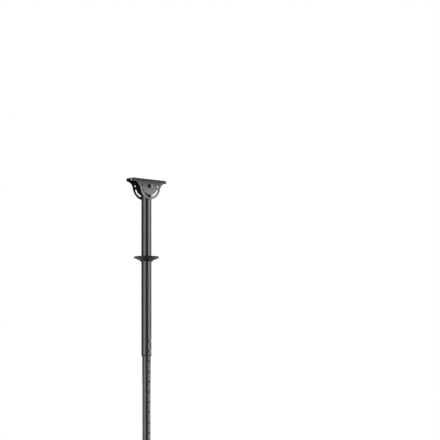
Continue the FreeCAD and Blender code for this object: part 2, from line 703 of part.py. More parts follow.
def build():
    """Every piece of the mount, by name."""
    bolt_heights = height_bolt_heights()
    pivot_bolt, pivot_nut, pivot_washers, pivot_spring = bolted_pair(
        PIVOT_SET, BRACKET_HALF_WIDTH, FreeCAD.Vector(0, 0, PIVOT_Z), Y_AXIS)
    lock_bolt, lock_nut, lock_washers, lock_spring = bolted_pair(
        CAP_SET, BRACKET_HALF_WIDTH, FreeCAD.Vector(0, 0, LOCK_Z), Y_AXIS)
    tilt_sets = [bolted_pair(CAP_SET, HEAD_HALF_WIDTH, FreeCAD.Vector(0, y, -SCREEN_CENTRE), X_AXIS)
                 for y in (-TILT_AXIS, HEAD_LOCK_RADIUS - TILT_AXIS)]
    screen_bolts, screen_nuts = plate_bolts()
    pieces = {
        "ceiling_bracket": ceiling_bracket(),
        "outer_tube": outer_tube(bolt_heights),
        "pivot_bolt": pivot_bolt,
        "pivot_nut": pivot_nut,
        "pivot_washers": Part.makeCompound(pivot_washers),
        "lock_bolt": lock_bolt,
        "lock_nut": lock_nut,
        "lock_washers": Part.makeCompound(lock_washers),
        "spring_washers": Part.makeCompound([pivot_spring, lock_spring]),
        "side_washers": Part.makeCompound(side_washers()),
        "guide_bush": guide_bush(bolt_heights),
        "ceiling_cover": ceiling_cover(),
        "cover_grip": cover_grip(),
        "inner_tube": inner_tube(bolt_heights),
        "slide_ring": slide_ring(),
        "end_cap": end_cap(),
        "head_yoke": head_yoke(),
        "sleeve_bolts": Part.makeCompound([sleeve_bolt(height) for height in sleeve_bolt_heights()]),
        "tilt_bracket": tilt_bracket(),
        "tilt_bolts": Part.makeCompound([bolt for bolt, _, _, _ in tilt_sets]),
        "tilt_nuts": Part.makeCompound([nut for _, nut, _, _ in tilt_sets]),
        "tilt_washers": Part.makeCompound([disc for _, _, discs, _ in tilt_sets for disc in discs]),
        "tilt_spring_washers": Part.makeCompound([spring for _, _, _, spring in tilt_sets]),
        "screen_plate": screen_plate(),
        "plate_bolts": Part.makeCompound(screen_bolts),
        "plate_nuts": Part.makeCompound(screen_nuts),
    }
    for number, height in enumerate(bolt_heights, start=1):
        pieces[f"height_bolt_{number}"] = height_bolt(height)
    return pieces


os.makedirs("parts", exist_ok=True)
for node, shape in build().items():
    shape.exportStep(f"parts/{node}.step")
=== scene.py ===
"""Looks of a telescopic television ceiling mount: its finishes, bolts, welds, studio and camera."""
import json
import logging
import math
from abc import ABC, abstractmethod
from dataclasses import dataclass
from enum import Enum
from itertools import product
from typing import ClassVar

import bmesh
import bpy
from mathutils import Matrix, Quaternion, Vector


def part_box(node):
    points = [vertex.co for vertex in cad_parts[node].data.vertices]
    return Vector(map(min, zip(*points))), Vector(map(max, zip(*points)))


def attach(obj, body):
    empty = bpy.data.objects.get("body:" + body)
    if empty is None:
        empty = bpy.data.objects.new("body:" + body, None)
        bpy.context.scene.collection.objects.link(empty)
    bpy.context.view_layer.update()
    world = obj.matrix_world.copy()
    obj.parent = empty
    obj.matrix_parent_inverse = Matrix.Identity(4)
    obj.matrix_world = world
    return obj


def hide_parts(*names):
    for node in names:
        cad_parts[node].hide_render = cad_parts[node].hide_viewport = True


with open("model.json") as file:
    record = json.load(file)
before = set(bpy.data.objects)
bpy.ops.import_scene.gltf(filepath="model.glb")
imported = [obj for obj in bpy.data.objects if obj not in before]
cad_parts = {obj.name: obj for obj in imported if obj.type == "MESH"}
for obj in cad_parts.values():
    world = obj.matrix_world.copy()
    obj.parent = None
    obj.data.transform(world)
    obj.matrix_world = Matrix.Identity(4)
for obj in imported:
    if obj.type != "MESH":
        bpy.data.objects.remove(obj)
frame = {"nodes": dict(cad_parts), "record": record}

LOG = logging.getLogger("ceiling_mount")
MM = 0.001
SEED = 11
SAME_PLACE = 0.01 * MM
FLAT_ANGLE = math.radians(0.2)
SHARP_ANGLE = math.radians(30.0)
EDGE_SEGMENTS = 2
FULL_TURN = 2 * math.pi
HEX_SIDES = 6
HEX_CORNER = 1 / math.sqrt(3)
CARD_GREY = "#5a5a5a"
# Numbers of sockets whose names repeat: the colours of a Mix node and the floats of a Random Value node.
MIX_FACTOR, MIX_FIRST, MIX_SECOND, MIX_COLOUR = 0, 6, 7, 2
RANDOM_LEAST, RANDOM_MOST, RANDOM_FLOAT = 2, 3, 1

Tree = bpy.types.NodeTree
Socket = bpy.types.NodeSocket
Outputs = bpy.types.NodeOutputs
Value = float | int | bool | tuple | Socket | list


def hex_to_linear(code: str) -> tuple[float, float, float, float]:
    """Turn an sRGB hex colour into the linear colour that shaders take.

    Args:
        code: Colour as "#rrggbb".

    Returns:
        Linear red, green and blue, and an alpha of 1.
    """
    channels = [int(code[start:start + 2], 16) / 255 for start in (1, 3, 5)]
    linear = [c / 12.92 if c <= 0.04045 else ((c + 0.055) / 1.055) ** 2.4 for c in channels]
    return (*linear, 1.0)


def add_node(tree: Tree, kind: str, inputs: dict[str | int, Value] | None = None,
             **settings: object) -> bpy.types.Node:
    """Add a node to a tree, with its settings, values and links.

    Args:
        tree: Shader or geometry tree that gets the node.
        kind: Blender's type name of the node.
        inputs: Value, socket or list of sockets for each input, by its name or number.
        **settings: Properties of the node.

    Returns:
        The new node.
    """
    node = tree.nodes.new(kind)
    for name, value in settings.items():
        setattr(node, name, value)
    for key, value in (inputs or {}).items():
        for part in value if isinstance(value, list) else [value]:
            if isinstance(part, Socket):
                tree.links.new(part, node.inputs[key])
            else:
                node.inputs[key].default_value = part
    return node


def linked(name: str, data: bpy.types.ID) -> bpy.types.Object:
    """Put a mesh, a light or a camera into the scene as an object at the origin.

    Args:
        name: Name of the object.
        data: What the object holds.

    Returns:
        The object.
    """
    piece = bpy.data.objects.new(name, data)
    bpy.context.scene.collection.objects.link(piece)
    return piece


def settled(piece: bpy.types.Object) -> bpy.types.Object:
    """Give a piece the plain mesh that its modifiers make, and remove them.

    Args:
        piece: Piece with live modifiers.

    Returns:
        The same piece without them.
    """
    graph = bpy.context.evaluated_depsgraph_get()
    mesh = bpy.data.meshes.new_from_object(piece.evaluated_get(graph))
    piece.modifiers.clear()
    piece.data = mesh
    return piece


def grown(name: str, start: bpy.types.Mesh, tree: bpy.types.GeometryNodeTree,
          values: dict[str, Value | bpy.types.Material]) -> bpy.types.Object:
    """Run a geometry tree on a starting mesh and keep its result as a plain mesh.

    Args:
        name: Name of the new piece.
        start: Points or path that the tree works on.
        tree: Geometry tree with named inputs.
        values: Value of each input by its name.

    Returns:
        The finished piece.
    """
    piece = linked(name, start)
    modifier = piece.modifiers.new("grow", "NODES")
    modifier.node_group = tree
    for item in tree.interface.items_tree:
        if item.name in values:
            modifier[item.identifier] = values[item.name]
    return settled(piece)


def softened(node: str, name: str, width: float) -> bpy.types.Object:
    """Copy a CAD piece and round its sharp edges, as deburring and a coat round them.

    Args:
        node: CAD node to copy.
        name: Name of the new piece.
        width: Width of the rounded edge in millimetres.

    Returns:
        The rounded copy.
    """
    shape = bmesh.new()
    shape.from_mesh(frame["nodes"][node].data)
    bmesh.ops.remove_doubles(shape, verts=shape.verts, dist=SAME_PLACE)
    bmesh.ops.dissolve_limit(shape, angle_limit=FLAT_ANGLE, verts=shape.verts, edges=shape.edges)
    for face in shape.faces:
        face.smooth = True
    mesh = bpy.data.meshes.new(name)
    shape.to_mesh(mesh)
    shape.free()
    old_normals = mesh.attributes.get("custom_normal")
    if old_normals:
        mesh.attributes.remove(old_normals)
    piece = linked(name, mesh)
    bevel = piece.modifiers.new("edge", "BEVEL")
    bevel.width = width * MM
    bevel.segments = EDGE_SEGMENTS
    bevel.limit_method = "ANGLE"
    bevel.angle_limit = SHARP_ANGLE
    bevel.harden_normals = True
    bevel.use_clamp_overlap = True
    return settled(piece)


@dataclass(frozen=True)
class Finish:
    """A surface finish, whose material is made once and shared by the pieces that have it."""

    name: str
    slot: str
    colour: str
    drift_colour: str
    edge_wear_and_highlight_colour: str
    roughness: float
    rougher: float
    drift_mm: float
    grain_mm: float
    grain_depth_mm: float
    edge_band_mm: float
    metallic: float = 0.0
    specular: float = 0.5

    CLOUD_DETAIL: ClassVar[float] = 3.0
    CLOUD_SPAN: ClassVar[tuple[float, float]] = (0.3, 0.7)
    GRAIN_DETAIL: ClassVar[float] = 2.0
    BUMP_STRENGTH: ClassVar[float] = 0.5
    EDGE_SAMPLES: ClassVar[int] = 4
    EDGE_SPAN: ClassVar[tuple[float, float]] = (0.98, 0.8)

    def material(self) -> bpy.types.Material:
        """Make the material, or give the one made before.

        Returns:
            The material of this finish.
        """
        made = bpy.data.materials.get(self.name)
        if made is None:
            made = bpy.data.materials.new(self.name)
            made.use_nodes = True
            shader = made.node_tree.nodes["Principled BSDF"]
            shader.inputs["Metallic"].default_value = self.metallic
            shader.inputs["Specular IOR Level"].default_value = self.specular
            self.paint(made.node_tree, shader)
        return made

    def drift(self, tree: Tree, coords: Socket) -> Socket:
        """Slow cloudy pattern that colour and gloss follow.

        Args:
            tree: Material tree.
            coords: Object coordinates.

        Returns:
            A value from 0 to 1.
        """
        least, most = self.CLOUD_SPAN
        cloud = add_node(tree, "ShaderNodeTexNoise", {
            "Vector": coords, "Scale": 1 / (self.drift_mm * MM), "Detail": self.CLOUD_DETAIL})
        return add_node(tree, "ShaderNodeMapRange", {
            "Value": cloud.outputs["Fac"], "From Min": least, "From Max": most}).outputs["Result"]

    def relief(self, tree: Tree, coords: Socket) -> Socket:
        """Height of the fine grain that the surface was made with.

        Args:
            tree: Material tree.
            coords: Object coordinates.

        Returns:
            A height from 0 to 1.
        """
        return add_node(tree, "ShaderNodeTexNoise", {
            "Vector": coords, "Scale": 1 / (self.grain_mm * MM), "Detail": self.GRAIN_DETAIL}).outputs["Fac"]

    def edge_wear_and_highlight(self, tree: Tree, coords: Socket) -> Socket:
        """Broken line along sharp edges, where the surface is thin or rubbed and where a highlight is
        painted.

        Args:
            tree: Material tree.
            coords: Object coordinates.

        Returns:
            A value from 0 on flat faces to 1 on worn edges with their painted highlight.
        """
        flat, sharp = self.EDGE_SPAN
        rounded = add_node(tree, "ShaderNodeBevel", {"Radius": self.edge_band_mm * MM}, samples=self.EDGE_SAMPLES)
        plain = add_node(tree, "ShaderNodeNewGeometry")
        turn = add_node(tree, "ShaderNodeVectorMath", {
            0: rounded.outputs["Normal"], 1: plain.outputs["Normal"]}, operation="DOT_PRODUCT")
        corner = add_node(tree, "ShaderNodeMapRange", {
            "Value": turn.outputs["Value"], "From Min": flat, "From Max": sharp})
        breaks = add_node(tree, "ShaderNodeTexNoise", {"Vector": coords, "Scale": 1 / (self.drift_mm * MM)})
        return add_node(tree, "ShaderNodeMath", {
            0: corner.outputs["Result"], 1: breaks.outputs["Fac"]}, operation="MULTIPLY").outputs["Value"]

    def paint(self, tree: Tree, shader: bpy.types.Node) -> None:
        """Lead the patterns of colour, gloss and relief into the material's shader.

        Args:
            tree: Material tree.
            shader: Principled shader of the material.
        """
        coords = add_node(tree, "ShaderNodeTexCoord").outputs["Object"]
        cloud = self.drift(tree, coords)
        tone = add_node(tree, "ShaderNodeMix", {
            MIX_FACTOR: cloud, MIX_FIRST: hex_to_linear(self.colour),
            MIX_SECOND: hex_to_linear(self.drift_colour)}, data_type="RGBA").outputs[MIX_COLOUR]
        # Sharp edges turn lighter: partly rubbed wear, partly a painted highlight.
        rubbed_and_highlighted = add_node(tree, "ShaderNodeMix", {
            MIX_FACTOR: self.edge_wear_and_highlight(tree, coords), MIX_FIRST: tone,
            MIX_SECOND: hex_to_linear(self.edge_wear_and_highlight_colour)}, data_type="RGBA").outputs[MIX_COLOUR]
        gloss = add_node(tree, "ShaderNodeMapRange", {
            "Value": cloud, "To Min": self.roughness, "To Max": self.rougher}).outputs["Result"]
        bump = add_node(tree, "ShaderNodeBump", {
            "Height": self.relief(tree, coords), "Strength": self.BUMP_STRENGTH,
            "Distance": self.grain_depth_mm * MM}).outputs["Normal"]
        for name, pattern in (("Base Color", rubbed_and_highlighted), ("Roughness", gloss), ("Normal", bump)):
            tree.links.new(pattern, shader.inputs[name])


@dataclass(frozen=True)
class SpangledFinish(Finish):
    """A crystalline metal finish, whose facets each catch the light in their own way."""

    def drift(self, tree: Tree, coords: Socket) -> Socket:
        """Cells of even tone, one for each crystal.

        Args:
            tree: Material tree.
            coords: Object coordinates.

        Returns:
            A value from 0 to 1.
        """
        cells = add_node(tree, "ShaderNodeTexVoronoi", {"Vector": coords, "Scale": 1 / (self.drift_mm * MM)})
        return add_node(tree, "ShaderNodeSeparateColor", {"Color": cells.outputs["Color"]}).outputs["Red"]


@dataclass(frozen=True)
class PittedFinish(Finish):
    """A moulded finish, whose tool was eroded by sparks into small round pits."""

    def relief(self, tree: Tree, coords: Socket) -> Socket:
        """Height of the pits that the tool left.

        Args:
            tree: Material tree.
            coords: Object coordinates.

        Returns:
            A height from 0 to about 1.
        """
        return add_node(tree, "ShaderNodeTexVoronoi", {"Vector": coords, "Scale": 1 / (self.grain_mm * MM)},
                        feature="SMOOTH_F1").outputs["Distance"]


# The third colour of each finish lies along its sharp edges: partly rubbed wear, partly a painted highlight.
# Polyester powder baked on steel: a deep black film with a satin gloss and a soft orange peel.
# The peel of about 1.5 mm is drawn at 3 mm, because it would be lost between pixels.
POWDER_COAT = Finish("black_powder_coated_steel", "powder_coated_steel", "#121213", "#161617", "#2a2a2c",
                     roughness=0.24, rougher=0.29, drift_mm=60.0, grain_mm=3.0, grain_depth_mm=0.006,
                     edge_band_mm=0.8, specular=0.42)
# Zinc plate under a black chromate: dark metal with faint clouds, bright along its edges, where spanners rub
# it and where a highlight is painted.
# Its grain of about 0.2 mm is drawn at 1 mm, so that it shows.
BLACK_ZINC = Finish("black_zinc_plated_steel", "black_bolts", "#5a5b5c", "#656666", "#9a9b9c",
                    roughness=0.22, rougher=0.32, drift_mm=6.0, grain_mm=1.0, grain_depth_mm=0.02,
                    edge_band_mm=0.6, metallic=1.0)
# Spring steel blackened in hot salts and oiled: a dull, nearly black skin, kept darker still as painted shade
# beside the bolt heads, and grey along its rims, which are rubbed and carry a painted highlight.
# Its rolled grain of about 0.2 mm is drawn at 1 mm, so that it shows.
BLACK_OXIDE_AND_SHADE = Finish("oil_blackened_steel_and_painted_shade", "black_bolts", "#141415", "#1b1b1b", "#47474a",
                     roughness=0.42, rougher=0.55, drift_mm=4.0, grain_mm=1.0, grain_depth_mm=0.02,
                     edge_band_mm=0.5)
# ABS from a spark-eroded tool: a dull black skin with fine pits.
# The pits of about 0.3 mm are drawn at 1.6 mm, because they would be lost between pixels.
MOULDED_ABS = PittedFinish("moulded_black_abs", "black_plastic", "#0d0d0e", "#111112", "#1d1d1f",
                           roughness=0.40, rougher=0.50, drift_mm=35.0, grain_mm=1.6, grain_depth_mm=0.05,
                           edge_band_mm=0.8, specular=0.12)
# Black nylon 66 punched from sheet: waxy, with a faint grain.
# The grain of about 0.3 mm is drawn at 1.2 mm, so that it shows.
BLACK_NYLON = Finish("black_nylon", "nylon_washers", "#161616", "#1d1d1d", "#333333",
                     roughness=0.38, rougher=0.50, drift_mm=12.0, grain_mm=1.2, grain_depth_mm=0.03,
                     edge_band_mm=0.5)
# EPDM rubber: matt black with a grey bloom of talc.
# The pits of about 0.2 mm are drawn at 1 mm, so that they show.
GRIP_RUBBER = PittedFinish("black_epdm_rubber", "grip_rubber", "#0c0c0c", "#1a1a19", "#262625",
                           roughness=0.72, rougher=0.88, drift_mm=5.0, grain_mm=1.0, grain_depth_mm=0.05,
                           edge_band_mm=0.6, specular=0.3)
# Bright zinc plate on screws: bluish metal, darker than pale plain zinc as painted shade under the bracket's
# top plate, whose crystals differ a little in tone.
# The crystals of about 1 mm are drawn at 2.5 mm, and the grain of 0.2 mm at 0.8 mm, so that they show.
BRIGHT_ZINC = SpangledFinish("bright_zinc_plated_steel", "black_bolts", "#8b8d90", "#a0a2a4", "#c4c5c6",
                             roughness=0.22, rougher=0.36, drift_mm=2.5, grain_mm=0.8, grain_depth_mm=0.01,
                             edge_band_mm=0.5, metallic=1.0)


def new_tree(name: str, inputs: dict[str, str], output: str) -> bpy.types.GeometryNodeTree:
    """Make an empty geometry tree with named inputs.

    Args:
        name: Name of the tree.
        inputs: Kind of socket for each input, by its name.
        output: Name of the geometry that the tree gives.

    Returns:
        The tree.
    """
    tree = bpy.data.node_groups.new(name, "GeometryNodeTree")
    for label, kind in inputs.items():
        tree.interface.new_socket(label, in_out="INPUT", socket_type=f"NodeSocket{kind}")
    tree.interface.new_socket(output, in_out="OUTPUT", socket_type="NodeSocketGeometry")
    return tree


def raised(tree: Tree, mesh: Socket, height: Socket) -> Socket:
    """Move a mesh along Z within a geometry tree.

    Args:
        tree: Geometry tree.
        mesh: Mesh to move.
        height: Way up, or down where it is negative.

    Returns:
        The moved mesh.
    """
    way = add_node(tree, "ShaderNodeCombineXYZ", {"Z": height})
    return add_node(tree, "GeometryNodeTransform", {
        "Geometry": mesh, "Translation": way.outputs[0]}).outputs[0]


def finish_tree(tree: Tree, copies: Socket, material: Socket) -> None:
    """End a geometry tree: real meshes, smooth but for sharp edges, with their material.

    Args:
        tree: Geometry tree.
        copies: Instances to keep.
        material: Material for all of them.
    """
    real = add_node(tree, "GeometryNodeRealizeInstances", {"Geometry": copies})
    smooth = add_node(tree, "GeometryNodeSetShadeSmooth", {"Geometry": real.outputs[0]})
    angle = add_node(tree, "GeometryNodeInputMeshEdgeAngle")
    sharp = add_node(tree, "ShaderNodeMath", {0: angle.outputs["Unsigned Angle"], 1: SHARP_ANGLE},
                     operation="GREATER_THAN")
    creased = add_node(tree, "GeometryNodeSetShadeSmooth", {
        "Geometry": smooth.outputs[0], "Selection": sharp.outputs[0], "Shade Smooth": False}, domain="EDGE")
    coated = add_node(tree, "GeometryNodeSetMaterial", {"Geometry": creased.outputs[0], "Material": material})
    add_node(tree, "NodeGroupOutput", {0: coated.outputs[0]})


class HeadForm(Enum):
    """Forms of bolt head on the mount."""

    CAP = "knurled socket cap"
    COUNTERSUNK = "countersunk socket"
    HEX = "flanged hexagon"


@dataclass(frozen=True)
class Bolt:
    """One kind of bolt, in millimetres, which Geometry Nodes set on points at the heads' outer faces."""

    form: HeadForm
    head: float
    head_height: float
    shank: float
    pitch: float
    thread: float
    socket: float = 0.0
    socket_depth: float = 0.0
    knurls: int = 30
    bevel: float = 0.6

    SIZES: ClassVar[tuple[str, ...]] = (
        "Head", "Head Height", "Shank", "Length", "Socket", "Socket Depth", "Pitch", "Thread", "Bevel")
    # Shares of the head's width and height and of the thread's pitch.
    GROOVE: ClassVar[float] = 0.98
    CROWN: ClassVar[float] = 0.91
    FLANGE_RIM: ClassVar[float] = 0.68
    FLANGE_TOP: ClassVar[float] = 0.56
    FLANGE_HEIGHT: ClassVar[float] = 0.28
    ROOT: ClassVar[float] = 0.3
    RIDGE: ClassVar[float] = 0.4
    # Sides of the round parts, and steps in a turn of the thread.
    CONE_SIDES: ClassVar[int] = 40
    FLANGE_SIDES: ClassVar[int] = 32
    CORE_SIDES: ClassVar[int] = 24
    RIDGE_SIDES: ClassVar[int] = 4
    TURN_STEPS: ClassVar[int] = 14

    def tree(self) -> bpy.types.GeometryNodeTree:
        """Make the tree that sets bolts of this form on points, or give the one made before.

        Returns:
            The tree, with the points and each size as a named input.
        """
        name = f"bolt_{self.form.name.lower()}"
        made = bpy.data.node_groups.get(name)
        if made:
            return made
        inputs = {"Heads": "Geometry"} | dict.fromkeys(self.SIZES, "Float")
        inputs |= {"Knurls": "Int", "Outward": "Vector", "Seed": "Int", "Finish": "Material"}
        tree = new_tree(name, inputs, "Bolts")
        given = add_node(tree, "NodeGroupInput").outputs
        parts = [self.head_part(tree, given), self.shank_part(tree, given), self.thread_part(tree, given)]
        bolt = add_node(tree, "GeometryNodeJoinGeometry", {"Geometry": parts})
        aim = add_node(tree, "FunctionNodeAlignRotationToVector", {"Vector": given["Outward"]}, axis="Z")
        turn = add_node(tree, "FunctionNodeRandomValue", {
            RANDOM_LEAST: 0.0, RANDOM_MOST: FULL_TURN, "Seed": given["Seed"]}).outputs[RANDOM_FLOAT]
        spin = add_node(tree, "FunctionNodeAxisAngleToRotation", {"Axis": (0, 0, 1), "Angle": turn})
        pose = add_node(tree, "FunctionNodeRotateRotation", {
            "Rotation": aim.outputs[0], "Rotate By": spin.outputs[0]}, rotation_space="LOCAL")
        copies = add_node(tree, "GeometryNodeInstanceOnPoints", {
            "Points": given["Heads"], "Instance": bolt.outputs[0], "Rotation": pose.outputs[0]})
        finish_tree(tree, copies.outputs[0], given["Finish"])
        return tree

    def head_part(self, tree: Tree, given: Outputs) -> Socket:
        """Head of the bolt, with its outer face at the origin and facing +Z.

        Args:
            tree: Geometry tree.
            given: Named inputs of the tree.

        Returns:
            The head's mesh.
        """
        radius = add_node(tree, "ShaderNodeMath", {0: given["Head"], 1: 0.5}, operation="MULTIPLY").outputs[0]
        if self.form is HeadForm.COUNTERSUNK:
            core = add_node(tree, "ShaderNodeMath", {0: given["Shank"], 1: 0.5}, operation="MULTIPLY")
            drop = add_node(tree, "ShaderNodeMath", {0: given["Head Height"], 1: -1.0}, operation="MULTIPLY")
            cone = add_node(tree, "GeometryNodeMeshCone", {
                "Vertices": self.CONE_SIDES, "Radius Top": radius, "Radius Bottom": core.outputs[0],
                "Depth": given["Head Height"]})
            blank = raised(tree, cone.outputs["Mesh"], drop.outputs[0])
        else:
            blank = self.turned_blank(tree, given, radius)
        if self.form is HeadForm.HEX:
            return self.with_flange(tree, given, blank)
        corner = add_node(tree, "ShaderNodeMath", {0: given["Socket"], 1: HEX_CORNER}, operation="MULTIPLY")
        depth = add_node(tree, "ShaderNodeMath", {0: given["Socket Depth"], 1: 2.0}, operation="MULTIPLY")
        key = add_node(tree, "GeometryNodeMeshCylinder", {
            "Vertices": HEX_SIDES, "Radius": corner.outputs[0], "Depth": depth.outputs[0]})
        return add_node(tree, "GeometryNodeMeshBoolean", {"Mesh 1": blank, "Mesh 2": key.outputs["Mesh"]},
                        operation="DIFFERENCE").outputs["Mesh"]

    def turned_blank(self, tree: Tree, given: Outputs, radius: Socket) -> Socket:
        """Prism of the head with a bevelled rim, knurled on a cap head and six-sided on a hexagon.

        Args:
            tree: Geometry tree.
            given: Named inputs of the tree.
            radius: Radius of the head across its flats.

        Returns:
            The prism's mesh.
        """
        hexagon = self.form is HeadForm.HEX
        side = add_node(tree, "ShaderNodeMath", {0: given["Head Height"], 1: given["Bevel"]},
                        operation="SUBTRACT").outputs[0]
        count = add_node(tree, "ShaderNodeMath", {0: given["Knurls"], 1: 2.0}, operation="MULTIPLY")
        reach = add_node(tree, "ShaderNodeMath", {0: radius, 1: 2 * HEX_CORNER if hexagon else 1.0},
                         operation="MULTIPLY")
        prism = add_node(tree, "GeometryNodeMeshCylinder", {
            "Vertices": HEX_SIDES if hexagon else count.outputs[0], "Radius": reach.outputs[0],
            "Depth": side})
        order = add_node(tree, "GeometryNodeInputIndex")
        odd = add_node(tree, "ShaderNodeMath", {0: order.outputs[0], 1: 2.0}, operation="MODULO")
        place = add_node(tree, "GeometryNodeInputPosition")
        groove = 1.0 if hexagon else self.GROOVE
        inward = add_node(tree, "ShaderNodeVectorMath", {0: place.outputs[0], 1: (groove, groove, 1.0)},
                          operation="MULTIPLY")
        knurled = add_node(tree, "GeometryNodeSetPosition", {
            "Geometry": prism.outputs["Mesh"], "Selection": odd.outputs[0], "Position": inward.outputs[0]})
        rim = add_node(tree, "GeometryNodeExtrudeMesh", {
            "Mesh": knurled.outputs[0], "Selection": prism.outputs["Top"], "Offset Scale": given["Bevel"],
            "Individual": False})
        crown = add_node(tree, "GeometryNodeScaleElements", {
            "Geometry": rim.outputs["Mesh"], "Selection": rim.outputs["Top"], "Scale": self.CROWN})
        half = add_node(tree, "ShaderNodeMath", {0: side, 1: -0.5}, operation="MULTIPLY")
        drop = add_node(tree, "ShaderNodeMath", {0: half.outputs[0], 1: given["Bevel"]}, operation="SUBTRACT")
        return raised(tree, crown.outputs[0], drop.outputs[0])

    def with_flange(self, tree: Tree, given: Outputs, blank: Socket) -> Socket:
        """Join a hexagon head to the round flange under it.

        Args:
            tree: Geometry tree.
            given: Named inputs of the tree.
            blank: Mesh of the hexagon.

        Returns:
            The head with its flange.
        """
        shares = (("Head", self.FLANGE_RIM), ("Head", self.FLANGE_TOP),
                  ("Head Height", self.FLANGE_HEIGHT), ("Head Height", -1.0))
        rim, top, height, drop = (
            add_node(tree, "ShaderNodeMath", {0: given[size], 1: share}, operation="MULTIPLY").outputs[0]
            for size, share in shares)
        disc = add_node(tree, "GeometryNodeMeshCone", {
            "Vertices": self.FLANGE_SIDES, "Radius Top": top, "Radius Bottom": rim, "Depth": height})
        flange = raised(tree, disc.outputs["Mesh"], drop)
        return add_node(tree, "GeometryNodeJoinGeometry", {"Geometry": [blank, flange]}).outputs[0]

    def shank_part(self, tree: Tree, given: Outputs) -> Socket:
        """Plain core of the shank, from the head's seat to the tip.

        Args:
            tree: Geometry tree.
            given: Named inputs of the tree.

        Returns:
            The core's mesh.
        """
        full = add_node(tree, "ShaderNodeMath", {0: given["Length"], 1: given["Head Height"]},
                        operation="SUBTRACT").outputs[0]
        root = add_node(tree, "ShaderNodeMath", {0: given["Pitch"], 1: -self.ROOT}, operation="MULTIPLY")
        radius = add_node(tree, "ShaderNodeMath", {0: given["Shank"], 1: 0.5, 2: root.outputs[0]},
                          operation="MULTIPLY_ADD")
        core = add_node(tree, "GeometryNodeMeshCylinder", {
            "Vertices": self.CORE_SIDES, "Radius": radius.outputs[0], "Depth": full})
        half = add_node(tree, "ShaderNodeMath", {0: full, 1: -0.5}, operation="MULTIPLY")
        drop = add_node(tree, "ShaderNodeMath", {0: half.outputs[0], 1: given["Head Height"]},
                        operation="SUBTRACT")
        return raised(tree, core.outputs["Mesh"], drop.outputs[0])

    def thread_part(self, tree: Tree, given: Outputs) -> Socket:
        """Thread ridge that winds up from the tip.

        Args:
            tree: Geometry tree.
            given: Named inputs of the tree.

        Returns:
            The ridge's mesh.
        """
        ridge = add_node(tree, "ShaderNodeMath", {0: given["Pitch"], 1: self.RIDGE},
                         operation="MULTIPLY").outputs[0]
        outer = add_node(tree, "ShaderNodeMath", {0: given["Shank"], 1: 0.5}, operation="MULTIPLY")
        radius = add_node(tree, "ShaderNodeMath", {0: outer.outputs[0], 1: ridge},
                          operation="SUBTRACT").outputs[0]
        turns = add_node(tree, "ShaderNodeMath", {0: given["Thread"], 1: given["Pitch"]}, operation="DIVIDE")
        helix = add_node(tree, "GeometryNodeCurveSpiral", {
            "Resolution": self.TURN_STEPS, "Rotations": turns.outputs[0], "Start Radius": radius,
            "End Radius": radius, "Height": given["Thread"]})
        section = add_node(tree, "GeometryNodeCurvePrimitiveCircle", {
            "Resolution": self.RIDGE_SIDES, "Radius": ridge})
        wound = add_node(tree, "GeometryNodeCurveToMesh", {
            "Curve": helix.outputs[0], "Profile Curve": section.outputs[0], "Fill Caps": True})
        tip = add_node(tree, "ShaderNodeMath", {0: ridge, 1: given["Length"]}, operation="SUBTRACT")
        return raised(tree, wound.outputs[0], tip.outputs[0])

    def placed(self, name: str, seats: list[Vector], outward: Vector, length: float,
               finish: Finish) -> bpy.types.Object:
        """Set bolts of this kind with their heads' outer faces on the seats.

        Args:
            name: Name of the piece.
            seats: Centres of the heads' outer faces, in metres.
            outward: Direction out of the heads.
            length: Length from outer face to tip, in metres.
            finish: Finish of the bolts.

        Returns:
            The bolts as one piece.
        """
        points = bpy.data.meshes.new(name)
        points.from_pydata(seats, [], [])
        sizes = (self.head * MM, self.head_height * MM, self.shank * MM, length, self.socket * MM,
                 self.socket_depth * MM, self.pitch * MM, self.thread * MM, self.bevel * MM)
        values = dict(zip(self.SIZES, sizes)) | {
            "Knurls": self.knurls, "Outward": tuple(outward), "Seed": SEED, "Finish": finish.material()}
        return grown(name, points, self.tree(), values)

    def replacing(self, name: str, outward: Vector, *nodes: str) -> bpy.types.Object:
        """Set bolts of this kind where CAD nodes hold them.

        Args:
            name: Name of the piece.
            outward: Direction out of the heads, along one axis.
            *nodes: CAD nodes of equal bolts.

        Returns:
            The bolts as one piece.
        """
        along = max(range(3), key=lambda axis: abs(outward[axis]))
        radius = self.head * MM / 2
        seats: list[Vector] = []
        for node in nodes:
            low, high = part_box(node)
            length = high[along] - low[along]
            sides = [(low[axis] + radius, high[axis] - radius) for axis in range(3)]
            sides[along] = (high[along] if outward[along] > 0 else low[along],)
            for seat in map(Vector, product(*sides)):
                if all((seat - other).length > radius for other in seats):
                    seats.append(seat)
        return self.placed(name, seats, outward, length, BLACK_ZINC)


